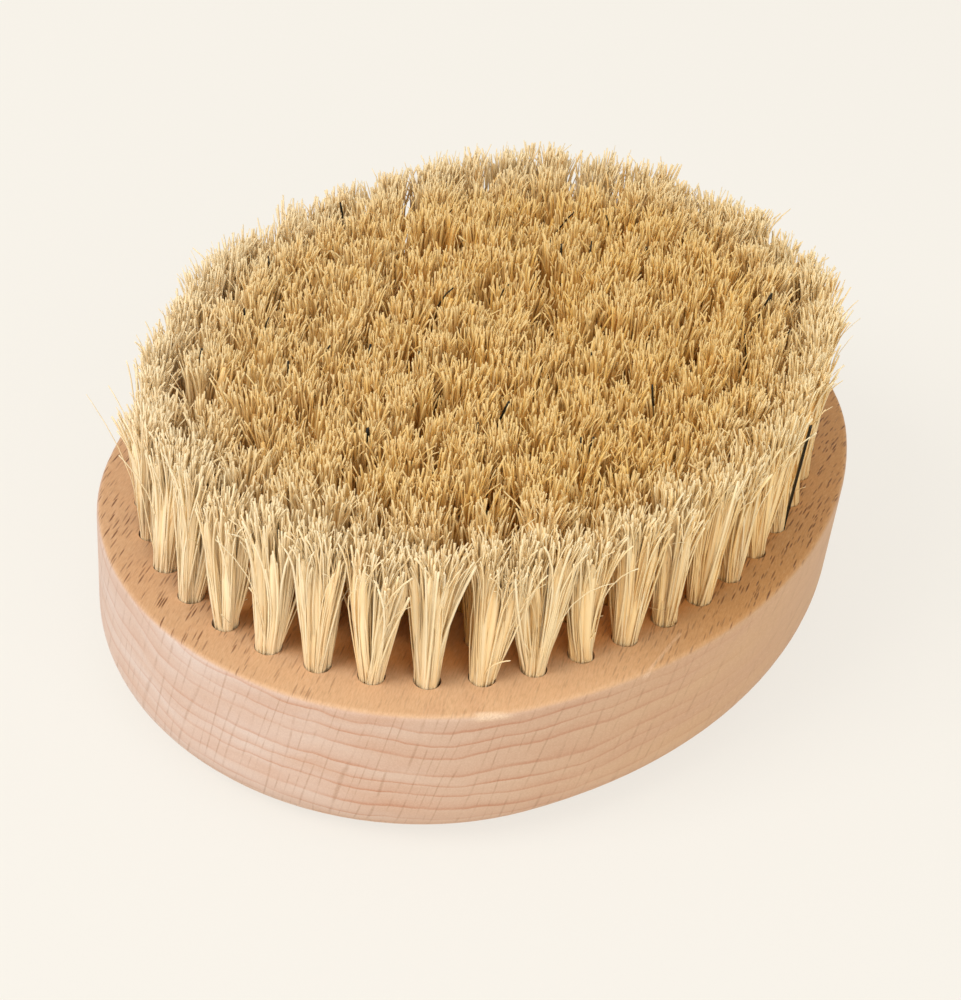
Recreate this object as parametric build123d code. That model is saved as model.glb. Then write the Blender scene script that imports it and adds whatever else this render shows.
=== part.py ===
from build123d import *
import math
import os
import random

# Oval vegetable brush. A one-piece beech block carries rings of fibre tufts, each folded
# round a small flat metal anchor and driven into its own blind hole.
# Frame: origin at the centre of the flat underside, +X along the oval, +Z towards the tips.
# All lengths are in millimetres.

# The block
block_length = 125.0
block_width = 98.0
block_thickness = 24.0
arc_meeting_angle = 60.0  # degrees, where the oval's end arcs meet its side arcs
face_edge_radius = 0.8
back_edge_radius = 8.5

# The blind holes for the tufts
hole_diameter = 3.6
hole_depth = 13.0
drill_point_angle = 118.0  # degrees, of the cone that the drill leaves
edge_to_first_ring = 6.9  # block edge to the centre line of the outer ring of holes
ring_pitch = 7.0  # wanted distance from ring to ring
tuft_pitch = 7.2  # wanted distance along a ring
outer_start_share = 0.68  # of a pitch, from the oval's end to the outer ring's first hole

# The anchors, flat strips that bite into the wood on both sides of a hole
anchor_thickness = 0.4
anchor_height = 2.2
anchor_bite = 0.5
anchor_above_hole_end = 0.9
anchor_slot_clearance = 0.05

# The tufts
bristle_length = 20.0  # free length above the block's face
length_variation = 1.4
root_clearance = 0.12  # root bundle to hole wall
root_sink = 0.6  # top of the packed root below the face
tip_taper_length = 3.4
tip_taper_variation = 1.4
tuft_gap = 0.35  # least gap between neighbouring tufts at their tips
strand_split_angle = 5.0  # degrees left open between two strands of one tuft
inward_lean = 1.0  # how far the outer ring's tips stand in from their holes
strands_by_ring = (4, 3, 3)  # from the outside in
inner_strands = 2  # in every ring after those
strand_root_share = 0.9  # of the packed root's radius
strand_corner_share = 0.75  # angle of a strand's outer corners, of its half sector
strand_inner_share = 0.4  # radius of its inner corners, of its outer radius
tip_size_share = 0.45  # section left at a strand's tip
reach_share_low = 0.86  # how far a strand may spread, of what its tuft allows
scatter_seed = 11

half_length = block_length / 2
half_width = block_width / 2
hole_radius = hole_diameter / 2
root_radius = hole_radius - root_clearance
hole_floor = block_thickness - hole_depth

# The oval's four arcs: end arcs about (+-end_centre, 0), side arcs about (0, -+side_centre)
meeting = math.radians(arc_meeting_angle)
end_centre = (half_length - half_width) / (1 + math.tan(meeting) - 1 / math.cos(meeting))
side_centre = end_centre * math.tan(meeting)
end_radius = half_length - end_centre
side_radius = half_width + side_centre

# The rings close in on a short straight row at the centre
rings = max(1, round((half_width - edge_to_first_ring) / ring_pitch))
ring_step = (half_width - edge_to_first_ring) / rings


def oval_face():
    """The block's outline as a flat face, of four tangent arcs."""
    turn = arc_meeting_angle
    arcs = [
        CenterArc((end_centre, 0), end_radius, -turn, 2 * turn),
        CenterArc((0, -side_centre), side_radius, turn, 180 - 2 * turn),
        CenterArc((-end_centre, 0), end_radius, 180 - turn, 2 * turn),
        CenterArc((0, side_centre), side_radius, 180 + turn, 180 - 2 * turn),
    ]
    return make_face(arcs)


def quarter_point(inset, distance):
    """A point on the first quarter of the oval drawn in by inset, distance along from its end.

    Returns x, y and the direction of the outward normal in radians.
    """
    end_r = max(end_radius - inset, 0)
    side_r = side_radius - inset
    start = meeting if end_r > 0 else math.asin(side_centre / side_r)
    end_arc = end_r * meeting
    if distance < end_arc:
        angle = distance / end_r
        return end_centre + end_r * math.cos(angle), end_r * math.sin(angle), angle
    angle = start + (distance - end_arc) / side_r
    return side_r * math.cos(angle), side_r * math.sin(angle) - side_centre, angle


def quarter_length(inset):
    """Length of a quarter of the oval drawn in by inset."""
    end_r = max(end_radius - inset, 0)
    side_r = side_radius - inset
    start = meeting if end_r > 0 else math.asin(side_centre / side_r)
    return end_r * meeting + side_r * (math.pi / 2 - start)


def ring_places(inset, start_share):
    """Tuft places spaced evenly round the oval drawn in by inset."""
    quarter = quarter_length(inset)
    count = 2 * round(2 * quarter / tuft_pitch)
    places = []
    for i in range(count):
        turns, along = divmod((i + start_share) * 4 * quarter / count, 2 * quarter)
        back = along > quarter
        x, y, angle = quarter_point(inset, 2 * quarter - along if back else along)
        if back:
            x, angle = -x, math.pi - angle
        if turns:
            x, y, angle = -x, -y, angle + math.pi
        places.append((x, y, angle))
    return places


def row_places():
    """Tuft places of the centre row, on both sides of the middle."""
    return [(i * tuft_pitch / 2, 0.0, 0.0) for i in (-1, 1)]


def lean_of(ring, angle):
    """How far the tips of a tuft stand off its hole, less in each ring further in."""
    inward = inward_lean * (1 - ring / rings)
    return -inward * math.cos(angle), -inward * math.sin(angle)


def nearest(tip, tips):
    """Distance from the middle of a tuft's tips to that of the nearest other one."""
    return min(math.dist(tip, other) for other in tips if other is not tip)


def hole_tool():
    """A drilled hole with its cone, standing at the place of the tuft, open above the face."""
    point = hole_radius / math.tan(math.radians(drill_point_angle / 2))
    outline = Polyline(
        (0, hole_floor - point),
        (hole_radius, hole_floor),
        (hole_radius, block_thickness + hole_radius),
        (0, block_thickness + hole_radius),
        close=True,
    )
    return revolve(Plane.XZ * make_face(outline), Axis.Z)


def anchor():
    """One anchor, across the brush, held by the wood at both ends."""
    strip = Box(anchor_thickness, hole_diameter + 2 * anchor_bite, anchor_height)
    return Pos(0, 0, hole_floor + anchor_above_hole_end + anchor_height / 2) * strip


def packed_root():
    """The folded root bundle that fills a hole, with the slot where its anchor passes."""
    height = hole_depth - root_sink
    root = Pos(0, 0, hole_floor + height / 2) * Cylinder(root_radius, height)
    slot = Box(
        anchor_thickness + 2 * anchor_slot_clearance,
        hole_diameter,
        anchor_height + 2 * anchor_slot_clearance,
    )
    return root - Pos(0, 0, hole_floor + anchor_above_hole_end + anchor_height / 2) * slot


def strand_section(size, radius, half_sector, centre, middle):
    """A strand's four-sided section at one height, as a flat face.

    Every section of a strand is one shape at another size, so the strand's sides are flat.
    size draws the section in about its own middle; middle is the direction of its sector.
    """
    outer_angle = half_sector * strand_corner_share
    outer_x = radius * math.cos(outer_angle)
    outer_y = radius * math.sin(outer_angle)
    inner_x = radius * strand_inner_share * math.cos(half_sector)
    inner_y = radius * strand_inner_share * math.sin(half_sector)
    own_x = (outer_x + inner_x) / 2
    corners = [
        (own_x + (outer_x - own_x) * size, outer_y * size),
        (own_x + (inner_x - own_x) * size, inner_y * size),
        (own_x + (inner_x - own_x) * size, -inner_y * size),
        (own_x + (outer_x - own_x) * size, -outer_y * size),
    ]
    turned = Pos(*centre) * Rot(0, 0, math.degrees(middle))
    return turned * make_face(Polyline(*corners, close=True))


def strand(middle, half_sector, reach, lean, scatter):
    """One four-sided strand that spreads from the root and tapers at its tip."""
    spread = reach * (reach_share_low + (1 - reach_share_low) * scatter.random())
    tip = block_thickness + bristle_length + length_variation * scatter.uniform(-1, 1)
    shoulder = tip - tip_taper_length - tip_taper_variation * scatter.uniform(-1, 1)
    foot = block_thickness - root_sink
    share = (shoulder - foot) / (tip - foot)
    root = root_radius * strand_root_share
    wide = root + (spread - root) * share
    stations = [
        (1, root, (0, 0, foot)),
        (1, wide, (lean[0] * share, lean[1] * share, shoulder)),
        (tip_size_share, spread, (lean[0], lean[1], tip)),
    ]
    sections = [
        strand_section(size, radius, half_sector, centre, middle)
        for size, radius, centre in stations
    ]
    return loft(sections, ruled=True)


def tuft(root, count, reach, lean, scatter):
    """One tuft at the origin: its packed root and its strands, fused into one solid."""
    turn = scatter.uniform(0, 2 * math.pi)
    half_sector = math.pi / count - math.radians(strand_split_angle / 2)
    strands = [
        strand(turn + 2 * math.pi * i / count, half_sector, reach, lean, scatter)
        for i in range(count)
    ]
    return root.fuse(*strands)


def write(name, shapes):
    """One node as one file. A node of several pieces keeps them as separate solids."""
    solids = [solid for shape in shapes for solid in shape.solids()]
    node = Compound(solids) if len(solids) > 1 else solids[0]
    node.label = name
    export_step(node, os.path.join("parts", name + ".step"))
    print(name, "solids", len(solids))


def ring_name(ring):
    """The name that a ring's nodes start with."""
    if ring == rings:
        return "centre_row"
    return "outer_ring" if ring == 0 else f"ring_{ring + 1}"


def main():
    os.makedirs("parts", exist_ok=True)
    layout = [
        ring_places(edge_to_first_ring + ring * ring_step, 0 if ring else outer_start_share)
        for ring in range(rings)
    ]
    layout.append(row_places())
    holes = [(x, y) for places in layout for x, y, _ in places]
    leans = [[lean_of(ring, angle) for _, _, angle in layout[ring]] for ring in range(rings + 1)]
    tips = [
        [(x + out_x, y + out_y) for (x, y, _), (out_x, out_y) in zip(places, ring_leans)]
        for places, ring_leans in zip(layout, leans)
    ]
    all_tips = [tip for ring_tips in tips for tip in ring_tips]

    block = extrude(oval_face(), block_thickness)
    block = fillet(block.edges().group_by(Axis.Z)[-1], face_edge_radius)
    block = fillet(block.edges().group_by(Axis.Z)[0], back_edge_radius)
    strip, root = anchor(), packed_root()
    tool = hole_tool().fuse(strip)
    write("wood_block", [block.cut(*[Pos(x, y, 0) * tool for x, y in holes])])

    scatter = random.Random(scatter_seed)
    strands = 0
    for ring, places in enumerate(layout):
        count = strands_by_ring[ring] if ring < len(strands_by_ring) else inner_strands
        tufts = []
        for (x, y, _), lean, tip in zip(places, leans[ring], tips[ring]):
            reach = (nearest(tip, all_tips) - tuft_gap) / 2
            tufts.append(Pos(x, y, 0) * tuft(root, count, reach, lean, scatter))
        strands += count * len(places)
        write(ring_name(ring) + "_tufts", tufts)
        write(ring_name(ring) + "_anchors", [Pos(x, y, 0) * strip for x, y, _ in places])
    print("tufts", len(holes), "strands", strands)


main()
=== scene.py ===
import math

import bmesh
import bpy
import numpy as np
from mathutils import Matrix, Vector


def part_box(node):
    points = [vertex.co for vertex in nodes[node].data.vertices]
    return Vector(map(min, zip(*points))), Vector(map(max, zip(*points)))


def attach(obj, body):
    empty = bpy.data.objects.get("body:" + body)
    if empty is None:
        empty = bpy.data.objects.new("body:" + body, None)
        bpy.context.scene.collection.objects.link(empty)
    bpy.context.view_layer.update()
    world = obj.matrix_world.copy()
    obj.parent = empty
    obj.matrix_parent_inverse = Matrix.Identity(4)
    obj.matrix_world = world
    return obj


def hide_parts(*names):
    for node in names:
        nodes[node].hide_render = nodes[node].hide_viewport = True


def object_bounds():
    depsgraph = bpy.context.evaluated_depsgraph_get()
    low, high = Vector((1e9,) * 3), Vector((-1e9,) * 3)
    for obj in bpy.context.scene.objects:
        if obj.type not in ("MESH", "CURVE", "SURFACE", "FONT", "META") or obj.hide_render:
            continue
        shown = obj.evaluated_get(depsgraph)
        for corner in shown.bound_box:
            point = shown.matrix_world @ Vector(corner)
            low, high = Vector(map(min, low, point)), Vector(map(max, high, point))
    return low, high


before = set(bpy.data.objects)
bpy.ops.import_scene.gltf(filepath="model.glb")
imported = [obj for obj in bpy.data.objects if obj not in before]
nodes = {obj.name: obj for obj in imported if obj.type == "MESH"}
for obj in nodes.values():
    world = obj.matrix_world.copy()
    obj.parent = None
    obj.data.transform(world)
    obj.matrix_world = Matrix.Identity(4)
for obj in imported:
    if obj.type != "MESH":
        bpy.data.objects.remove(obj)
cad_box = [list(corner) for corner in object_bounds()]
scene = bpy.context.scene

# Sizes are in metres, apart from those marked as millimetres. Names that end in BY_CHANCE are
# standard deviations. A pair is a range unless its comment says otherwise, and four numbers
# carry a value from the first two to the last two, as Tree.spread does
MM = 0.001
RINGS = ["outer_ring", "ring_2", "ring_3", "ring_4", "ring_5", "ring_6", "centre_row"]

# Read from the part
HALF_LENGTH, HALF_WIDTH = cad_box[1][:2]
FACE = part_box("wood_block")[1].z
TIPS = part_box("outer_ring_tufts")[1].z
ANCHOR_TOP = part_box("outer_ring_anchors")[1].z
MERGE_DISTANCE = 1e-6  # corners of its meshes that are closer than this are one

# Level directions, to the right of the photograph and away from its camera
RIGHTWARD = (0.59, -0.81, 0.0)
FARWARD = (0.84, 0.54)

# The bundle of fibres in each hole. Widths are radii
FIBRES = 165
BUNDLE_RADIUS = 1.77 * MM
IN_HOLE = 0.8 * MM
ABOVE_ANCHOR = 0.4 * MM
THIN_FIBRE = 0.10 * MM
THICK_FIBRE = 0.27 * MM
THIN_POWER = 1.4  # thin fibres are more common than thick ones
TIP_SHARE = 0.85
CUT_SHARES = (0.6, 1.0)  # of the width, at the cut end
SIDES = 3
STEPS = 7
STEP_POWER = 1.6
HEIGHTS = 1 - (1 - np.linspace(0, 1, STEPS)) ** STEP_POWER  # closer together towards the tip

# The strands that a tuft parts into, each with a packed core that its fibres hide
STRANDS = 10
STRAND_ROOT = 0.5 * MM
STRAND_TIP = 0.88 * MM
STRAND_ROOTS_SHARE = 0.96  # of the bundle's width that the strands' roots stand in
GOLDEN_TURN = math.pi * (3 - math.sqrt(5))  # from one strand to the next
CORE_SHARE = 0.95
CORE_SIDES = 9
CORE_HEIGHTS = np.array([0.0, 0.12, 0.26, 0.42, 0.58, 0.72, 0.84])  # of the bristle length
CORE_TAPER = np.array([1.0, 1.0, 1.0, 1.0, 0.92, 0.74, 0.3])
CORE_SWELL_POWER = 1.25
CORE_FLUTES = (0.88, 1.06)  # of its width, at each of its sides
CORE_TONES = (-0.25, 0.2)  # off its strand's tone

# How the tufts spread above the face
BRISTLE = 20.0 * MM
FLARE_ALONG = 4.1 * MM
FLARE_ACROSS = 3.8 * MM
OUTER_FLARE_ACROSS = 2.3 * MM
INWARD_LEAN = 0.9 * MM
BACK_LEAN = 1.0 * MM
DOME = 0.9 * MM  # how much lower the tips are at the flare's edge
DOME_LIMIT = 1.3  # of the flare
BEND_POWER = 3
HOOK_POWER = 7

# What chance does to a tuft and its strands
CHANCE_SEED = 100  # and on by one for each ring
TUFT_LEAN_BY_CHANCE = (0.32 * MM, 0.55 * MM)  # outward, and along the ring
TUFT_HIGH_BY_CHANCE = 0.8 * MM
TUFT_TONE_BY_CHANCE = 0.03
STRAND_REACHES = (0.85, 1.15)
STRAND_FANS = (1.1, 1.4)
STRAND_LEAN_BY_CHANCE = 0.95 * MM
STRAND_HIGH_BY_CHANCE = 1.1 * MM
STRAND_SWAY_BY_CHANCE = 0.15 * MM
STRAND_BEND_BY_CHANCE = 0.6 * MM
STRAND_TONE_BY_CHANCE = 0.07
MIDDLE_TONE = 0.5

# What chance does to a fibre in its strand
CORE_SURROUND = (0.35, 1.0)  # squares of the distances off the core's middle, in strand radii
ROOT_CROWDING = 1.22
RIM_SQUARES = (0.93, 1.0)  # squares of the distances at the hole's rim, in bundle radii
FIBRE_LEAN_BY_CHANCE = 0.45 * MM
FIBRE_HIGH_BY_CHANCE = 0.45 * MM
FIBRE_FANS = (-0.1, 0.1)  # off its strand's fan
FIBRE_SWAY_BY_CHANCE = 0.16 * MM
FIBRE_BEND_BY_CHANCE = 0.75 * MM
FIBRE_HOOK_BY_CHANCE = 0.42 * MM
FIBRE_TONE_BY_CHANCE = 0.15

# Fibres that stand out
SHORT_SHARE = 0.12
SHORT_BY = (0.5 * MM, 3.5 * MM)
HOOKED_SHARE = 0.3
HOOKED_MORE = 2.8
HOOKED_WIDTH = 0.75
STRAY_SHARE = 0.014
OUTER_STRAY_SHARE = 0.034
STRAY_LEAN_BY_CHANCE = 1.3 * MM
STRAY_BEND_BY_CHANCE = 2.2 * MM
STRAY_LOWER_BY = (0.0, 2.0 * MM)
STRAY_WIDTH = 0.62
LOW_STRAY_SHARE = 0.006
LOW_STRAY_REACH_BY_CHANCE = (2.4 * MM, 2.0 * MM)  # outward, and along the ring
LOW_STRAY_HIGH = (2.0 * MM, 9.0 * MM)
DARK_SHARE = 0.0016
DARK_ABOVE = 0.6 * MM
DARK_WIDTH = 0.9

# One long dark fibre on the outside of its tuft: x and y of its foot and tip, and its height, in
# millimetres
DARK_FOOT = (12.2, -42.7)
DARK_TIP = (11.2, -43.7)
DARK_HIGH = 19.0


def srgb(r, g, b):
    """A linear colour from 8-bit display values."""
    out = []
    for value in (r, g, b):
        c = value / 255
        out.append(c / 12.92 if c <= 0.04045 else ((c + 0.055) / 1.055) ** 2.4)
    return (*out, 1.0)


# Studio
BACKDROP = srgb(247, 243, 235)
FLOOR_TINTS = (srgb(240, 235, 226), srgb(246, 241, 232))
FLOOR_TINT_WAVES = (3, 3, 3)  # per metre
FLOOR_HALF = 6.0
FLOOR_DROP = 0.05 * MM
SHADOW_SHARE = 0.2
SHADOW_FADE = (0.3, 1.5)
WORLD_LIGHT = 0.7
LAMP_AIM = (0, 0, 0.03)
LAMPS = [  # name, place, side, power in watts and colour
    ("key", (-0.75, 0.35, 0.85), 0.55, 7.2, (1.0, 0.985, 0.96)),
    ("fill", (-0.5, -0.9, 0.6), 0.9, 3.8, (1.0, 0.98, 0.96)),
]

# The camera stands where the photograph was taken from
SENSOR_WIDTH = 36.0  # millimetres
LENS = 72.305  # millimetres
CLIP_START = 0.01
CLIP_END = 50
CAMERA_PLACE = (-0.20387, -0.12812, 0.17159)  # its height is above the block's face
CAMERA_BACKWARD = (-0.6745, -0.4264, 0.6028)
CAMERA_RIGHTWARD = (0.5873, -0.8046, 0.0880)

# For the node helper
NOISE_RANGE = (0.2, 0.8)  # that noise mostly keeps to
FLECK_EDGE = (1.0, 0.45)  # of the way from a fleck's middle to its end


class Tree:
    """A small helper for building the nodes of a material or a world."""

    def __init__(self, owner):
        owner.use_nodes = True
        self.owner = owner
        self.tree = owner.node_tree
        self.tree.nodes.clear()

    def add(self, kind, inputs=None, **settings):
        node = self.tree.nodes.new(kind)
        for key, value in settings.items():
            setattr(node, key, value)
        for key, value in (inputs or {}).items():
            self.put(node.inputs[key], value)
        return node

    def put(self, socket, value):
        if isinstance(value, bpy.types.NodeSocket):
            self.tree.links.new(value, socket)
        else:
            socket.default_value = value

    def place(self):
        """The point on the object, in metres."""
        return self.add("ShaderNodeTexCoord").outputs["Object"]

    def stored(self, name):
        """A value stored on the mesh."""
        return self.add("ShaderNodeAttribute", attribute_name=name).outputs["Fac"]

    def math(self, operation, a, b=0.0):
        return self.add("ShaderNodeMath", {0: a, 1: b}, operation=operation).outputs[0]

    def sum(self, first, *more):
        for value in more:
            first = self.math("ADD", first, value)
        return first

    def product(self, first, *more):
        for value in more:
            first = self.math("MULTIPLY", first, value)
        return first

    def rest(self, share):
        """What is left of 1."""
        return self.math("SUBTRACT", 1.0, share)

    def vector(self, operation, a, b):
        node = self.add("ShaderNodeVectorMath", {0: a, 1: b}, operation=operation)
        return node.outputs["Value" if operation in ("LENGTH", "DOT_PRODUCT") else "Vector"]

    def length(self, vector):
        return self.vector("LENGTH", vector, (0, 0, 0))

    def split(self, vector):
        return self.add("ShaderNodeSeparateXYZ", {0: vector}).outputs

    def join(self, x, y, z):
        return self.add("ShaderNodeCombineXYZ", {0: x, 1: y, 2: z}).outputs[0]

    def mix(self, factor, a, b):
        node = self.add("ShaderNodeMix", {"Factor": factor, 6: a, 7: b}, data_type="RGBA")
        return node.outputs[2]

    def layers(self, colour, *layers):
        """A colour under layers, each a share and a colour."""
        for share, over in layers:
            colour = self.mix(share, colour, over)
        return colour

    def ramp(self, factor, stops):
        node = self.add("ShaderNodeValToRGB", {0: factor})
        while len(node.color_ramp.elements) < len(stops):
            node.color_ramp.elements.new(0.5)
        for element, (place, colour) in zip(node.color_ramp.elements, stops):
            element.position = place
            element.color = colour
        return node.outputs[0]

    def spread(self, value, low, high, to_low=0.0, to_high=1.0, smooth=False):
        """A value between low and high, carried to between to_low and to_high and kept there."""
        inputs = {"Value": value, "From Min": low, "From Max": high}
        inputs |= {"To Min": to_low, "To Max": to_high}
        kind = "SMOOTHSTEP" if smooth else "LINEAR"
        return self.add("ShaderNodeMapRange", inputs, interpolation_type=kind).outputs[0]

    def between(self, share, at_none, at_full):
        """at_none where the share is 0, and at_full where it is 1."""
        return self.spread(share, 0.0, 1.0, at_none, at_full)

    def swing(self, noise, size):
        """Noise as a length from -size to size."""
        return self.spread(noise, *NOISE_RANGE, -size, size)

    def noise(self, vector, scale, detail=2.0, rough=0.5, shift=(0, 0, 0)):
        """Noise about 0.5. scale is in waves per unit along each axis."""
        moved = self.vector("ADD", self.vector("MULTIPLY", vector, scale), shift)
        inputs = {"Vector": moved, "Scale": 1.0, "Detail": detail, "Roughness": rough}
        return self.add("ShaderNodeTexNoise", inputs).outputs[0]

    def flecks(self, vector, cell, half, shift=(0, 0, 0)):
        """Soft lens shapes, one in each random cell, 1 inside and 0 outside, and each one's chance."""
        scaled = self.vector("ADD", self.vector("DIVIDE", vector, cell), shift)
        cells = self.add("ShaderNodeTexVoronoi", {"Vector": scaled, "Scale": 1.0})
        offset = self.vector("SUBTRACT", scaled, cells.outputs["Position"])
        stretch = [c / h for c, h in zip(cell, half)]
        reach = self.length(self.vector("MULTIPLY", offset, stretch))
        pick = self.split(cells.outputs["Color"])[0]
        return self.spread(reach, *FLECK_EDGE, smooth=True), pick

    def off_middle(self, place, unit):
        """The square of how far a place is off the brush's middle from above, 1 at its rim."""
        half_sides = (HALF_LENGTH / unit, HALF_WIDTH / unit, 1.0)
        x, y, _ = self.split(self.vector("DIVIDE", place, half_sides))
        return self.sum(self.product(x, x), self.product(y, y))

    def bump(self, height, strength, distance):
        """A surface as uneven as height says, with the distance in metres."""
        inputs = {"Height": height, "Strength": strength, "Distance": distance}
        return self.add("ShaderNodeBump", inputs).outputs[0]

    def blend(self, share, a, b):
        """Two shaders in one."""
        return self.add("ShaderNodeMixShader", {0: share, 1: a, 2: b}).outputs[0]

    def finish(self, shader, output="ShaderNodeOutputMaterial"):
        self.put(self.add(output).inputs["Surface"], shader)
        return self.owner

    def surface(self, inputs):
        """The material, with a shader of these inputs."""
        return self.finish(self.add("ShaderNodeBsdfPrincipled", inputs).outputs[0])


# Beech. All its lengths are in millimetres. Its noise is given as waves per millimetre along the
# grain, across it and up or in depth, then detail, roughness and shift

FACE_LEVEL = FACE / MM
WOOD_NOISE = {
    "sway": ((0.06, 0.05, 0.16), 2.0, 0.5, (0, 0, 0)),
    "wander": ((0.02, 0.045, 0.04), 2.0, 0.5, (3, 8, 2)),
    "ripple": ((0.05, 0.2, 0.1), 1.0, 0.5, (7, 3, 1)),
    "kinks": ((0.25, 0.6, 0.3), 1.0, 0.5, (2, 4, 6)),
    "uneven": ((0.2, 1, 1), 0.0, 0.5, (5.3, 2, 4)),
    "strength": ((0.05, 0.08, 0.5), 2.0, 0.5, (1, 6, 9)),
    "phase": ((0.05, 0.2, 0.02), 1.0, 0.5, (8, 2, 7)),
    "shown": ((0.15, 0.7, 0.26), 2.0, 0.6, (4, 9, 1)),
    "pores": ((0.9, 4.5, 4.5), 3.0, 0.65, (0, 0, 0)),
    "tint": ((0.02, 0.07, 0.3), 2.0, 0.5, (0, 0, 0)),
}
WOOD = {
    # painted light: the face lighter on the left where the light falls, darker and oranger on the
    # right in the tufts' shade
    "face lit left": srgb(207, 166, 127),
    "face shaded right": srgb(203, 152, 95),
    "face calm": srgb(235, 198, 160),
    "face tint": srgb(196, 146, 104),
    # painted shade: the face warmer and darker between the tufts, for their shade and the light they
    # bounce
    "shade between tufts": srgb(232, 150, 62),
    # painted light: the walls paler on the left where the light falls, darker on the right
    "wall lit left": srgb(214, 195, 186),
    "wall shaded right": srgb(206, 168, 129),
    "wall tint": srgb(198, 157, 130),
    "ring": srgb(186, 130, 100),
    "face ray": srgb(108, 66, 38),
    "wall ray": srgb(150, 108, 78),
    "pale pore": srgb(250, 226, 198),
    "worn": srgb(240, 212, 182),
    "pit": srgb(160, 114, 80),
}

# The grain lies at a slight turn to the brush, in a wide arch
GRAIN_TURN = math.radians(12)
GRAIN_ARCH = 0.0017  # per millimetre
GRAIN_SWAY = 0.7
UPWARD = (0.35, 0.95)  # how far up the surface faces, from wall to face

# Ranges along RIGHTWARD, and distances from the calm place on the face
RIGHT_SIDE = (5, 42)
# The next range carries painted light: the wood paler towards the lit left and darker towards the
# right
LIT_LEFT_TO_SHADED_RIGHT = (-45, 40)
CALM_PLACE = (-46, -32)  # x and y
CALM_REACH = (10, 44)

# Growth rings
RING_SPACING = 2.4
RING_TILT = -0.085
RING_BOW = -0.0007  # per millimetre
RING_WANDER = 1.8
RING_RIPPLE = 0.2
RING_KINK = 0.09
RING_UNEVEN = 0.9
LINE_RISE = (0.76, 0.92)  # of a year's growth, as are the next two
LINE_FALL = (1.0, 0.94)
LATE_FALL = (1.0, 0.96)
LINE_SHARE = 0.32
LATE_SHARE = 0.34
LATE_POWER = 1.5
RING_STRENGTH = (0.3, 0.7, 0.35, 1.3)
RING_FADE_ASIDE = (8, 44, 1.1, 0.6)
RING_FADE_RIGHT = (0.3, 1.0, 1.0, 0.35)
RING_ON_FACE = 0.22

# Rays, as flecks and as a net. A fleck is given as its random cell, half its own size and a shift
WIDE_FLECK = ((3.0, 1.0, 6.0), (1.5, 0.16, 3.4), (0, 0, 0))
SMALL_FLECK = ((2.1, 0.8, 4.0), (0.9, 0.15, 2.2), (31, 17, 5))
WIDE_PICK = (0.0, 1.0, 0.45, 1.0)
SMALL_PICK = (0.1, 1.0, 0.1, 1.0)
WIDE_IN_CALM = 0.22
SMALL_IN_CALM = 0.4
SMALL_ON_FACE = (0.3, 0.9)  # from the left to the right side, as are the next two
SMALL_ON_WALL = (0.03, 0.16)
NET_ON_WALL = (0.36, 0.2)
NET_SPACING = 1.5
NET_LEAN = 0.22
NET_PHASE = 0.9
NET_LINE = (0.13, 0.02)  # where a line begins and is full, as shares of the spacing
NET_SHOWN = (0.44, 0.62, 0.15, 1.0)

# Colour and surface. A layer's share is how far it covers what is under it
FACE_CALM = (0.6, 0.0)
FACE_TINT = (0.2, 0.8, 0.0, 0.3)
WALL_TINT = (0.3, 0.75, 0.0, 0.6)
# Painted shade on the face between the tufts, warm for the light they bounce
SHADE_BETWEEN_TUFTS = (0.82, 0.68)  # squares of the distance off the middle
SHADE_BETWEEN_LEVELS = (FACE_LEVEL - 6, FACE_LEVEL - 2)
SHADE_BETWEEN_SHARE = 0.7
PALE_PORES = (0.5, 0.75, 0.0, 0.16)
WORN_PORES = (0.3, 0.6, 0.4, 1.0)
PITS = (0.5, 0.25)
PITS_FROM_WALL_TO_FACE = (0.14, 0.34)
PORE_HEIGHT = 0.6
RAY_HEIGHT = -0.8
WOOD_BUMP = (0.2, 0.12 * MM)  # strength and distance, which is in metres
WOOD_ROUGHNESS = (0.3, 0.7, 0.50, 0.64)
WOOD_SPECULAR = 0.3

# Pale worn places on the face: both ends, half the width, and how pale
WORN = [
    ((-47.9, -32.4), (-44.6, -36.3), 0.9, 0.75),
    ((-28.6, -44.5), (-17.2, -43.5), 0.35, 0.35),
]
WORN_BELOW = (-1.2, -0.6)  # heights off the face, between which they fade out
WORN_SOFTNESS = 3


def worn_place(t, place, start, end, half):
    """A soft straight mark on the face from start to end: 1 inside and 0 outside."""
    length = math.dist(start, end)
    way = [(b - a) / length for a, b in zip(start, end)]
    offset = t.vector("SUBTRACT", place, (*start, FACE_LEVEL))
    down = t.vector("DOT_PRODUCT", offset, (*way, 0))
    aside = t.math("ABSOLUTE", t.vector("DOT_PRODUCT", offset, (-way[1], way[0], 0)))
    beyond = t.math("ABSOLUTE", t.sum(down, -length / 2))
    return t.product(
        t.spread(aside, half, half / WORN_SOFTNESS, smooth=True),
        t.spread(beyond, length / 2 + half, length / 2 - half, smooth=True),
        t.spread(t.split(offset)[2], *WORN_BELOW),
    )


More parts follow.
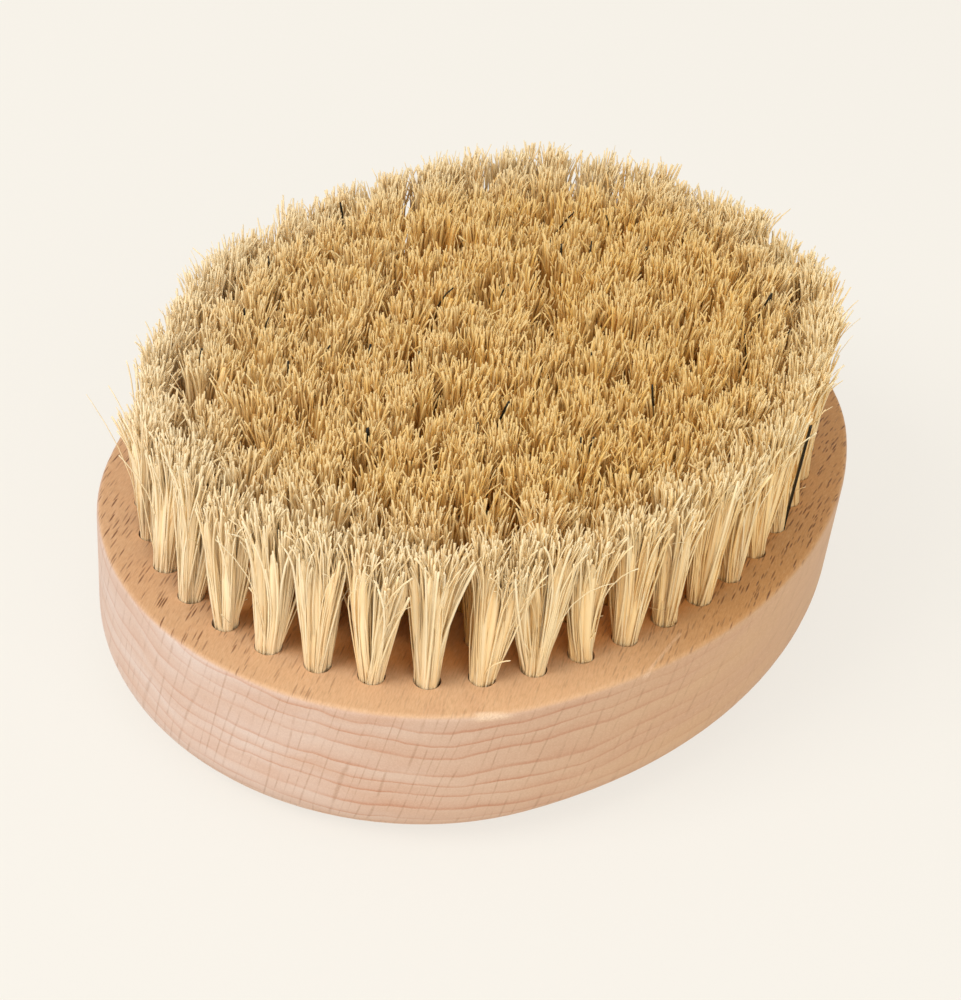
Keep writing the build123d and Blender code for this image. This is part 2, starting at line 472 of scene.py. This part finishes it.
def growth_rings(t, place, straight, rightward, right):
    """The rings, a sharp line under a slow darkening at uneven distances, and their depth."""
    _, y, z = t.split(place)
    depth = t.sum(
        t.sum(z, t.product(y, RING_TILT), t.product(y, y, RING_BOW)),
        t.swing(t.noise(straight, *WOOD_NOISE["wander"]), RING_WANDER),
        t.swing(t.noise(straight, *WOOD_NOISE["ripple"]), RING_RIPPLE),
        t.swing(t.noise(straight, *WOOD_NOISE["kinks"]), RING_KINK),
    )
    uneven = t.noise(t.join(depth, 0.0, 0.0), *WOOD_NOISE["uneven"])
    depth = t.sum(depth, t.swing(uneven, RING_UNEVEN))
    year = t.math("FRACT", t.product(depth, -1 / RING_SPACING))
    line = t.product(t.spread(year, *LINE_RISE, smooth=True), t.spread(year, *LINE_FALL))
    late = t.product(t.math("POWER", year, LATE_POWER), t.spread(year, *LATE_FALL))
    strength = t.noise(straight, *WOOD_NOISE["strength"])
    rings = t.product(
        t.sum(t.product(line, LINE_SHARE), t.product(late, LATE_SHARE)),
        t.spread(strength, *RING_STRENGTH),
        t.spread(t.math("ABSOLUTE", rightward), *RING_FADE_ASIDE, smooth=True),
        t.spread(right, *RING_FADE_RIGHT),
    )
    return rings, depth


def wood_rays(t, along, level, z, grain, calm, right):
    """Rays, thin sheets along the grain and nearly upright, as the face and the wall show them."""
    wide, wide_pick = t.flecks(grain, *WIDE_FLECK)
    small, small_pick = t.flecks(grain, *SMALL_FLECK)
    wide = t.product(wide, t.spread(wide_pick, *WIDE_PICK))
    small = t.product(small, t.spread(small_pick, *SMALL_PICK))
    wide_face = t.product(wide, t.between(calm, WIDE_IN_CALM, 1.0))
    small_face = t.product(
        small, t.between(right, *SMALL_ON_FACE), t.between(calm, SMALL_IN_CALM, 1.0)
    )
    leaning = t.sum(level, t.product(z, NET_LEAN))
    net_place = t.join(along, leaning, z)
    phase = t.swing(t.noise(net_place, *WOOD_NOISE["phase"]), NET_PHASE)
    phase = t.sum(t.product(leaning, 1 / NET_SPACING), phase)
    offset = t.math("ABSOLUTE", t.sum(t.math("FRACT", phase), -0.5))
    shown = t.noise(net_place, *WOOD_NOISE["shown"])
    net = t.product(
        t.spread(offset, *NET_LINE, smooth=True),
        t.spread(shown, *NET_SHOWN),
        t.between(right, *NET_ON_WALL),
    )
    small_wall = t.product(small, t.between(right, *SMALL_ON_WALL))
    return t.math("MAXIMUM", wide_face, small_face), t.math("MAXIMUM", net, small_wall)


def beech():
    """Flat-sawn beech as a solid texture, worked out along its grain, with painted light and shade:
    paler towards the lit left, darker towards the right, warm painted shade on the face between the
    tufts, and a face darker than the walls partly as painted shade.
    """
    t = Tree(bpy.data.materials.new("beech_wood"))
    place = t.vector("MULTIPLY", t.place(), (1 / MM, 1 / MM, 1 / MM))
    x, y, z = t.split(place)
    along = t.sum(t.product(x, math.cos(GRAIN_TURN)), t.product(y, math.sin(GRAIN_TURN)))
    level = t.sum(
        t.product(x, -math.sin(GRAIN_TURN)),
        t.product(y, math.cos(GRAIN_TURN)),
        t.product(along, along, GRAIN_ARCH),
    )
    straight = t.join(along, level, z)
    sway = t.between(t.noise(straight, *WOOD_NOISE["sway"]), -GRAIN_SWAY, GRAIN_SWAY)
    grain = t.join(along, t.sum(level, sway), z)

    normal = t.split(t.add("ShaderNodeNewGeometry").outputs["Normal"])
    up = t.spread(t.math("ABSOLUTE", normal[2]), *UPWARD, smooth=True)
    rightward = t.vector("DOT_PRODUCT", place, RIGHTWARD)
    right = t.spread(rightward, *RIGHT_SIDE, smooth=True)
    # Painted light: paler towards the lit left, darker towards the right
    painted_light_drift = t.spread(rightward, *LIT_LEFT_TO_SHADED_RIGHT, smooth=True)
    calm = t.length(t.vector("SUBTRACT", place, (*CALM_PLACE, FACE_LEVEL)))
    calm = t.spread(calm, *CALM_REACH, smooth=True)

    rings, depth = growth_rings(t, place, straight, rightward, right)
    rays_face, rays_wall = wood_rays(t, along, level, z, grain, calm, right)
    pores = t.noise(grain, *WOOD_NOISE["pores"])
    tint = t.noise(t.join(along, level, depth), *WOOD_NOISE["tint"])
    # Painted shade: the face warmer and darker among the tufts, where they shade it and bounce light
    # onto it
    painted_shade_among = t.spread(t.off_middle(place, MM), *SHADE_BETWEEN_TUFTS, smooth=True)
    painted_shade_among = t.product(painted_shade_among, t.spread(z, *SHADE_BETWEEN_LEVELS), SHADE_BETWEEN_SHARE)

    face_colour = t.layers(
        t.mix(painted_light_drift, WOOD["face lit left"], WOOD["face shaded right"]),
        (t.between(calm, *FACE_CALM), WOOD["face calm"]),
        (t.spread(tint, *FACE_TINT), WOOD["face tint"]),
        (painted_shade_among, WOOD["shade between tufts"]),
    )
    wall_colour = t.layers(
        t.mix(painted_light_drift, WOOD["wall lit left"], WOOD["wall shaded right"]),
        (t.spread(tint, *WALL_TINT), WOOD["wall tint"]),
    )
    worn_pores = t.spread(pores, *WORN_PORES)
    worn = [
        t.product(worn_place(t, place, start, end, half), worn_pores, share)
        for start, end, half, share in WORN
    ]
    pits = t.product(t.spread(pores, *PITS), t.between(up, *PITS_FROM_WALL_TO_FACE))
    # The face is darker and warmer than the walls: partly the grain's own colour, partly painted shade
    # for how the light falls on it
    colour = t.layers(
        t.mix(up, wall_colour, face_colour),
        (t.product(rings, t.between(up, 1.0, RING_ON_FACE)), WOOD["ring"]),
        (t.product(rays_face, up), WOOD["face ray"]),
        (t.product(rays_wall, t.rest(up)), WOOD["wall ray"]),
        (t.spread(pores, *PALE_PORES), WOOD["pale pore"]),
        *[(share, WOOD["worn"]) for share in worn],
        (pits, WOOD["pit"]),
    )

    height = t.sum(t.product(pores, PORE_HEIGHT), t.product(rays_face, RAY_HEIGHT))
    return t.surface({
        "Base Color": colour,
        "Roughness": t.spread(pores, *WOOD_ROUGHNESS),
        "Specular IOR Level": WOOD_SPECULAR,
        "Normal": t.bump(height, *WOOD_BUMP),
    })


# Fibre. Its tone and its streaks together pick a colour of the ramp

FIBRE_RAMP = [
    (0.10, srgb(248, 196, 110)),
    (0.35, srgb(255, 221, 154)),
    (0.60, srgb(255, 234, 186)),
    (0.85, srgb(255, 242, 206)),
    (1.00, srgb(255, 248, 224)),
]
FIBRE = {
    # painted shade: darker and more golden at the foot of each fibre, in and just above its hole
    "root": srgb(232, 184, 108),
    # painted shade: golden in the middle of the field, where the fibres shade each other and bounce
    # light
    "middle": srgb(245, 203, 102),
    # painted shade: saturated gold low down in the field, seen in the gaps
    "deep painted shade": srgb(248, 182, 52),
    # painted light: paler fibres on the lit left side
    "painted lit side": srgb(255, 238, 208),
    # painted highlight on the cut ends, duller in the middle of the field
    "outer end highlight": srgb(255, 236, 196),
    "middle end highlight": srgb(232, 204, 156),
    "dark": srgb(8, 3, 1),
    "sheen": srgb(255, 232, 176),
}
STREAKS = ((2600, 2600, 260), 2.0, 0.6)  # waves per metre, detail and roughness
TONE_SHARE = 0.8
STREAK_SHARE = 0.3
# Painted shade at the foot of each fibre
ROOT_PAINTED_SHADE = (0.2, 0.0, 0.0, 0.2)
# The middle of the field, whose fibres carry painted shade
SHADED_FIELD = (0.85, 0.46, 0.05, 1.0)  # from Tree.off_middle
FIELD_SHADE_SHARE = 0.58
# Painted light: the left side, where the light falls, paler and with less painted shade
LIT_LEFT_SIDE = (0.04, -0.045, 0.15, 0.7)  # from distances along RIGHTWARD
LIT_LEFT_MIDDLE = (0.35, 0.7, 1.0, 0.8)
# Painted shade low down on the fibres of the field
DEEP_PAINTED_SHADE = (0.95, 0.5, 0.1, 0.9)
# Painted highlight on the cut ends of the fibres
CUT_END_HIGHLIGHT = (0.93, 1.0)
CUT_END_HIGHLIGHT_SHARES = (0.5, 0.38)  # outside and in the middle
FIBRE_ROUGHNESS = (0.3, 0.7, 0.38, 0.55)
FIBRE_SPECULAR = 0.25
FIBRE_SHEEN = 0.28


def plant_fibre():
    """Straw-coloured plant fibre, with painted shade at the roots, in the middle of the field and low
    down, painted light on the left side and painted highlights on the cut ends. tone, along and dark
    are stored on the fibres.
    """
    t = Tree(bpy.data.materials.new("plant_fibre"))
    along = t.stored("along")
    place = t.place()
    streak = t.noise(place, *STREAKS)
    lie = t.sum(t.product(t.stored("tone"), TONE_SHARE), t.product(streak, STREAK_SHARE))
    # Painted light on the left side, where the light falls
    side = t.spread(t.vector("DOT_PRODUCT", place, RIGHTWARD), *LIT_LEFT_SIDE)
    # Painted shade: the middle of the field, where the fibres shade each other
    middle = t.spread(t.off_middle(place, 1.0), *SHADED_FIELD)
    middle = t.product(middle, t.spread(side, *LIT_LEFT_MIDDLE))
    # Painted highlight on the cut ends
    cut_end_highlight = t.product(t.spread(along, *CUT_END_HIGHLIGHT), t.between(middle, *CUT_END_HIGHLIGHT_SHARES))
    colour = t.layers(
        t.ramp(lie, FIBRE_RAMP),
        # painted shade at the roots
        (t.spread(along, *ROOT_PAINTED_SHADE), FIBRE["root"]),
        (t.product(middle, FIELD_SHADE_SHARE), FIBRE["middle"]),
        # painted shade low down in the field
        (t.product(t.spread(along, *DEEP_PAINTED_SHADE), middle), FIBRE["deep painted shade"]),
        (t.product(side, t.rest(middle)), FIBRE["painted lit side"]),
        (cut_end_highlight, t.mix(middle, FIBRE["outer end highlight"], FIBRE["middle end highlight"])),
        (t.stored("dark"), FIBRE["dark"]),
    )
    return t.surface({
        "Base Color": colour,
        "Roughness": t.spread(streak, *FIBRE_ROUGHNESS),
        "Specular IOR Level": FIBRE_SPECULAR,
        "Sheen Weight": FIBRE_SHEEN,
        "Sheen Tint": FIBRE["sheen"],
    })


# Steel

DRAWN_LINES = ((9000, 400, 9000), 3.0, 0.6)  # waves per metre, detail and roughness
STEEL_COLOURS = (srgb(168, 168, 164), srgb(205, 204, 198))
STEEL_ROUGHNESS = (0.2, 0.8, 0.28, 0.45)
STEEL_BUMP = (0.2, 0.02 * MM)  # strength and distance


def anchor_steel():
    """Drawn flat steel wire, cut to length."""
    t = Tree(bpy.data.materials.new("anchor_steel"))
    drawn = t.noise(t.place(), *DRAWN_LINES)
    return t.surface({
        "Base Color": t.mix(drawn, *STEEL_COLOURS),
        "Metallic": 1.0,
        "Roughness": t.spread(drawn, *STEEL_ROUGHNESS),
        "Normal": t.bump(drawn, *STEEL_BUMP),
    })


# Backdrop and floor


def seen_directly(t):
    """1 for the rays that show the backdrop itself, 0 for those that light the object."""
    path = t.add("ShaderNodeLightPath").outputs
    kinds = ("Is Camera Ray", "Is Glossy Ray", "Is Transmission Ray")
    return t.math("MINIMUM", t.sum(*[path[kind] for kind in kinds]), 1.0)


def floor_material():
    """A pale floor of the backdrop's even colour, which keeps a share of the object's shadow."""
    t = Tree(bpy.data.materials.new("studio_floor"))
    place = t.place()
    colour = t.mix(t.noise(place, FLOOR_TINT_WAVES), *FLOOR_TINTS)
    lit = t.add("ShaderNodeBsdfDiffuse", {"Color": colour}).outputs[0]
    plain = t.add("ShaderNodeEmission", {"Color": BACKDROP, "Strength": 1.0}).outputs[0]
    far = t.spread(t.length(place), *SHADOW_FADE, smooth=True)
    kept = t.product(t.rest(far), SHADOW_SHARE)
    share = t.product(seen_directly(t), t.rest(kept))
    return t.finish(t.blend(share, lit, plain))


def studio_world():
    """Even light of the backdrop's colour, which is seen at full strength."""
    t = Tree(bpy.data.worlds.new("studio"))
    light = t.add("ShaderNodeBackground", {"Color": BACKDROP, "Strength": WORLD_LIGHT}).outputs[0]
    shown = t.add("ShaderNodeBackground", {"Color": BACKDROP, "Strength": 1.0}).outputs[0]
    return t.finish(t.blend(seen_directly(t), light, shown), "ShaderNodeOutputWorld")


# Fibres as meshes


def tuft_places(node):
    """The x, y of each tuft of a ring, from its anchors, in turn round the ring."""
    mesh = bmesh.new()
    mesh.from_mesh(nodes[node].data)
    bmesh.ops.remove_doubles(mesh, verts=mesh.verts, dist=MERGE_DISTANCE)
    seen, places = set(), []
    for start in mesh.verts:
        if start in seen:
            continue
        stack, island = [start], []
        seen.add(start)
        while stack:
            vert = stack.pop()
            island.append(vert.co.xy)
            for edge in vert.link_edges:
                other = edge.other_vert(vert)
                if other not in seen:
                    seen.add(other)
                    stack.append(other)
        low = np.min(island, 0)
        high = np.max(island, 0)
        places.append(tuple((low + high) / 2))
    mesh.free()
    return sorted(places, key=lambda p: math.atan2(p[1], p[0]))


def tubes(paths, radii, turn):
    """Corners of tubes, as (tubes, points, corners, 3).

    paths is (tubes, points, 3), radii (tubes, points, corners) and turn (tubes).
    """
    tangent = np.gradient(paths, axis=1)
    tangent /= np.linalg.norm(tangent, axis=2, keepdims=True)
    first = np.stack([np.cos(turn), np.sin(turn), np.zeros(len(turn))], 1)[:, None, :]
    u = first - tangent * (first * tangent).sum(2, keepdims=True)
    u /= np.linalg.norm(u, axis=2, keepdims=True)
    v = np.cross(tangent, u)
    sides = radii.shape[2]
    corner = (2 * math.pi * np.arange(sides) / sides)[None, None, :, None]
    ring = u[:, :, None, :] * np.cos(corner) + v[:, :, None, :] * np.sin(corner)
    return paths[:, :, None, :] + ring * radii[..., None]


def soft_piece(name, corners, values, material):
    """One piece of closed forms whose corners are (forms, points, corners, 3).

    values holds an array for each named attribute, which spreads over the corners.
    """
    n, k, m, _ = corners.shape
    first = (np.arange(n) * k * m)[:, None, None]
    here = first + (np.arange(k - 1) * m)[None, :, None]
    side = np.arange(m)[None, None, :]
    after = (side + 1) % m
    quads = np.stack([here + side, here + after, here + m + after, here + m + side], -1)
    quads = quads.reshape(-1, 4).tolist()
    lower = (first[:, 0] + np.arange(m)[::-1]).tolist()
    upper = (first[:, 0] + (k - 1) * m + np.arange(m)).tolist()
    mesh = bpy.data.meshes.new(name)
    mesh.from_pydata(corners.reshape(-1, 3).tolist(), [], quads + lower + upper)
    mesh.polygons.foreach_set("use_smooth", [True] * len(quads) + [False] * (2 * n))
    for key, value in values.items():
        data = mesh.attributes.new(key, "FLOAT", "POINT")
        flat = np.broadcast_to(value, corners.shape[:3]).reshape(-1)
        data.data.foreach_set("value", flat.astype(np.float32))
    mesh.update()
    mesh.materials.append(material)
    piece = bpy.data.objects.new(name, mesh)
    scene.collection.objects.link(piece)
    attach(piece, "root")
    return piece


def rise(root, tip, high, heights, fan, sway, bend, hook):
    """Paths from inside the hole up to the tips, as (forms, points, 3), in a tuft's own frame."""
    s = np.asarray(heights)[None, :, None]
    spread = 1 - (1 - s) ** fan[:, None, None]
    flat = root[:, None] + (tip - root)[:, None] * spread
    flat += sway[:, None] * np.sin(math.pi * s)
    flat += bend[:, None] * s ** BEND_POWER + hook[:, None] * s ** HOOK_POWER
    paths = np.zeros((len(root), len(heights) + 2, 3))
    paths[:, :2, :2] = root[:, None]
    paths[:, 2:, :2] = flat
    paths[:, 0, 2] = ANCHOR_TOP + ABOVE_ANCHOR
    paths[:, 1, 2] = FACE - IN_HOLE
    paths[:, 2:, 2] = FACE + high[:, None] * s[:, :, 0]
    return paths


def path_values(in_hole, above):
    """A value for each point of a path: the two in the hole, and then those above the face."""
    return np.concatenate([[in_hole] * 2, above])


def along_values(heights, count):
    """How far up each point of so many paths is, as stored on them: 0 in the hole, 1 at the tip."""
    return np.tile(path_values(0, heights), (count, 1))[..., None]


def disc(turn, squares):
    """Points at these turns, and at distances from the middle whose squares are given."""
    return np.stack([np.cos(turn), np.sin(turn)], 1) * np.sqrt(squares)


def tuft(rng, outward, across, lean, outer):
    """One tuft about its hole: its strands' cores, and its fibres.

    outward is the direction away from the brush's middle, across the flare along it, and
    lean how far the tips stand off the hole along it. The outer ring's tufts have more strays.
    """
    own_frame = np.array([outward, (-outward[1], outward[0])])
    flare = np.array([across, FLARE_ALONG])
    tuft_lean = np.array([lean, 0]) + rng.normal(0, 1, 2) * TUFT_LEAN_BY_CHANCE
    tuft_high = BRISTLE + rng.normal(0, TUFT_HIGH_BY_CHANCE)

    # Strands fan out evenly, then lean by chance
    order = np.arange(STRANDS) + 0.5
    turn = order * GOLDEN_TURN + rng.uniform(0, 2 * math.pi)
    place = disc(turn, order[:, None] / STRANDS)
    strand = place * (BUNDLE_RADIUS - STRAND_ROOT) * STRAND_ROOTS_SHARE
    strand_tip = place * (flare - STRAND_TIP) * rng.uniform(*STRAND_REACHES, (STRANDS, 1))
    strand_tip += tuft_lean + rng.normal(0, STRAND_LEAN_BY_CHANCE, place.shape)
    strand_high = tuft_high + rng.normal(0, STRAND_HIGH_BY_CHANCE, STRANDS)
    strand_fan = rng.uniform(*STRAND_FANS, STRANDS)
    strand_sway = rng.normal(0, STRAND_SWAY_BY_CHANCE, place.shape)
    strand_bend = rng.normal(0, STRAND_BEND_BY_CHANCE, place.shape)
    strand_tone = rng.normal(MIDDLE_TONE, STRAND_TONE_BY_CHANCE, STRANDS)
    strand_tone += rng.normal(0, TUFT_TONE_BY_CHANCE)
    cores = rise(
        strand, strand_tip, strand_high, CORE_HEIGHTS, strand_fan, strand_sway, strand_bend,
        0 * strand,
    )
    wide = STRAND_ROOT + (STRAND_TIP - STRAND_ROOT) * (1 - (1 - CORE_HEIGHTS) ** CORE_SWELL_POWER)
    wide = path_values(STRAND_ROOT, wide * CORE_TAPER)[None, :, None]
    flute = rng.uniform(*CORE_FLUTES, (STRANDS, 1, CORE_SIDES))
    core_tone = strand_tone[:, None, None] + rng.uniform(*CORE_TONES, flute.shape)
    core_corners = tubes(cores, wide * CORE_SHARE * flute, turn)
    core_values = {
        "tone": np.broadcast_to(core_tone, core_corners.shape[:3]),
        "dark": np.zeros((STRANDS, cores.shape[1], 1)),
        "along": along_values(CORE_HEIGHTS, STRANDS),
    }

    # Fibres stand round their strand's core
    mine = rng.integers(0, STRANDS, FIBRES)
    turn = rng.uniform(0, 2 * math.pi, FIBRES)
    own = disc(turn, rng.uniform(*CORE_SURROUND, (FIBRES, 1)))
    width = THIN_FIBRE + (THICK_FIBRE - THIN_FIBRE) * rng.random(FIBRES) ** THIN_POWER
    root = (strand[mine] + own * STRAND_ROOT) * ROOT_CROWDING
    limit = (BUNDLE_RADIUS - width[:, None]) * np.sqrt(rng.uniform(*RIM_SQUARES, (FIBRES, 1)))
    root *= np.minimum(1, limit / np.linalg.norm(root, axis=1, keepdims=True))
    tip = strand_tip[mine] + own * STRAND_TIP + rng.normal(0, FIBRE_LEAN_BY_CHANCE, (FIBRES, 2))
    edge = np.minimum((np.abs(tip - tuft_lean) / flare).max(1), DOME_LIMIT)
    high = strand_high[mine] + rng.normal(0, FIBRE_HIGH_BY_CHANCE, FIBRES) - DOME * edge ** 2
    fan = strand_fan[mine] + rng.uniform(*FIBRE_FANS, FIBRES)
    sway = strand_sway[mine] + rng.normal(0, FIBRE_SWAY_BY_CHANCE, (FIBRES, 2))
    bend = strand_bend[mine] + rng.normal(0, FIBRE_BEND_BY_CHANCE, (FIBRES, 2))

    # Some are short, dark, hooked or astray
    pick = rng.random((4, FIBRES))
    high -= (pick[0] < SHORT_SHARE) * rng.uniform(*SHORT_BY, FIBRES)
    dark = (pick[3] < DARK_SHARE) & (not outer)
    high = np.where(dark, np.maximum(high, tuft_high + DARK_ABOVE), high)
    width = np.where(dark, np.maximum(width, DARK_WIDTH * THICK_FIBRE), width)
    stray = pick[1] < (OUTER_STRAY_SHARE if outer else STRAY_SHARE)
    tip += stray[:, None] * rng.normal(0, STRAY_LEAN_BY_CHANCE, (FIBRES, 2))
    bend += stray[:, None] * rng.normal(0, STRAY_BEND_BY_CHANCE, (FIBRES, 2))
    high -= stray * rng.uniform(*STRAY_LOWER_BY, FIBRES)
    low = (pick[1] > 1 - LOW_STRAY_SHARE) & outer
    aside = rng.normal(0, 1, (FIBRES, 2)) * LOW_STRAY_REACH_BY_CHANCE
    tip = np.where(low[:, None], root + aside, tip)
    high = np.where(low, rng.uniform(*LOW_STRAY_HIGH, FIBRES), high)
    high = np.minimum(high, TIPS - FACE)
    hooked = pick[2] < HOOKED_SHARE
    hook = rng.normal(0, FIBRE_HOOK_BY_CHANCE, (FIBRES, 2))
    hook *= np.where(hooked, HOOKED_MORE, 1.0)[:, None]
    paths = rise(root, tip, high, HEIGHTS, fan, sway, bend, hook)

    width *= np.where(stray | low, STRAY_WIDTH, 1) * np.where(hooked, HOOKED_WIDTH, 1)
    taper = path_values(1, 1 - (1 - TIP_SHARE) * HEIGHTS)
    radii = np.repeat((width[:, None] * taper)[..., None], SIDES, 2)
    radii[:, -1] *= rng.uniform(*CUT_SHARES, (FIBRES, 1))
    tone = np.clip(strand_tone[mine] + rng.normal(0, FIBRE_TONE_BY_CHANCE, FIBRES), 0, 1)
    points = np.ones((1, paths.shape[1]))
    values = {
        "tone": (tone[:, None] * points)[..., None],
        "dark": (dark[:, None] * points)[..., None],
        "along": along_values(HEIGHTS, FIBRES),
    }
    corners = tubes(paths, radii, rng.uniform(0, 2 * math.pi, FIBRES))
    for form in (core_corners, corners):
        form[..., :2] = form[..., :2] @ own_frame
    return (core_corners, core_values), (corners, values)


def ring_of_fibres(index, material):
    """The tufts of one ring in its place: a piece of cores, and the fibres of each half round."""
    ring = RINGS[index]
    rng = np.random.default_rng(CHANCE_SEED + index)
    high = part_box(f"{ring}_anchors")[1]
    across = FLARE_ACROSS if index else OUTER_FLARE_ACROSS
    outermost = 1 - index / len(RINGS)
    kinds = ([], [])
    for x, y in tuft_places(f"{ring}_anchors"):
        out = np.array([x / high.x ** 2, y / high.y ** 2])
        out /= np.linalg.norm(out)
        far = np.clip(out @ FARWARD, 0, 1)
        lean = outermost * (-INWARD_LEAN + (INWARD_LEAN + BACK_LEAN) * far)
        for kind, (corners, values) in zip(kinds, tuft(rng, out, across, lean, index == 0)):
            corners[..., :2] += (x, y)
            kind.append((corners, values))
    cores, fibres = kinds
    half = len(fibres) // 2
    parts = {"cores": cores, "fibres_1": fibres[:half], "fibres_2": fibres[half:]}
    for name, made in parts.items():
        corners = np.concatenate([corners for corners, _ in made])
        keys = made[0][1]
        values = {key: np.concatenate([each[key] for _, each in made]) for key in keys}
        piece = soft_piece(f"{ring}_{name}", corners, values, material)
        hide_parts(f"{ring}_tufts")


def dark_fibre(material):
    """One long dark fibre beside its tuft."""
    foot, tip = np.array([DARK_FOOT]) * MM, np.array([DARK_TIP]) * MM
    none = np.zeros((1, 2))
    paths = rise(foot, tip, np.array([DARK_HIGH * MM]), HEIGHTS, np.ones(1), none, none, none)
    corners = tubes(paths, np.full((1, paths.shape[1], SIDES), THICK_FIBRE), np.zeros(1))
    values = {
        "tone": np.full((1, 1, 1), MIDDLE_TONE),
        "dark": np.ones((1, 1, 1)),
        "along": along_values(HEIGHTS, 1),
    }
    soft_piece("dark_fibre", corners, values, material)


def dress(node, material):
    """A part's own solids keep their shape and take a new material."""
    nodes[node].data.materials.clear()
    nodes[node].data.materials.append(material)


def lamp(name, place, side, power, colour):
    """A soft square lamp, aimed at the middle of the brush."""
    data = bpy.data.lights.new(name, "AREA")
    data.shape = "SQUARE"
    data.size = side
    data.energy = power
    data.color = colour
    obj = bpy.data.objects.new(name, data)
    obj.location = place
    obj.rotation_mode = "QUATERNION"
    obj.rotation_quaternion = (Vector(LAMP_AIM) - Vector(place)).to_track_quat("-Z", "Y")
    scene.collection.objects.link(obj)


def add_camera():
    """The photograph's camera, as the scene's own."""
    data = bpy.data.cameras.new("camera")
    data.sensor_width = SENSOR_WIDTH
    data.lens = LENS
    data.clip_start = CLIP_START
    data.clip_end = CLIP_END
    camera = bpy.data.objects.new("camera", data)
    scene.collection.objects.link(camera)
    back = Vector(CAMERA_BACKWARD).normalized()
    up = back.cross(Vector(CAMERA_RIGHTWARD)).normalized()
    turn = Matrix((up.cross(back), up, back)).transposed().to_4x4()
    x, y, above_face = CAMERA_PLACE
    camera.matrix_world = Matrix.Translation((x, y, above_face + FACE)) @ turn
    scene.camera = camera


def add_floor():
    """A level floor just under the block, which isn't part of the brush."""
    mesh = bpy.data.meshes.new("floor")
    corners = [(-1, -1), (1, -1), (1, 1), (-1, 1)]
    places = [(FLOOR_HALF * x, FLOOR_HALF * y, -FLOOR_DROP) for x, y in corners]
    mesh.from_pydata(places, [], [(0, 1, 2, 3)])
    mesh.materials.append(floor_material())
    floor = bpy.data.objects.new("floor", mesh)
    scene.collection.objects.link(floor)


dress("wood_block", beech())
fibre = plant_fibre()
steel = anchor_steel()
for index, ring in enumerate(RINGS):
    ring_of_fibres(index, fibre)
    dress(f"{ring}_anchors", steel)
dark_fibre(fibre)

add_camera()
add_floor()
for settings in LAMPS:
    lamp(*settings)
scene.world = studio_world()
scene.view_settings.view_transform = "Standard"
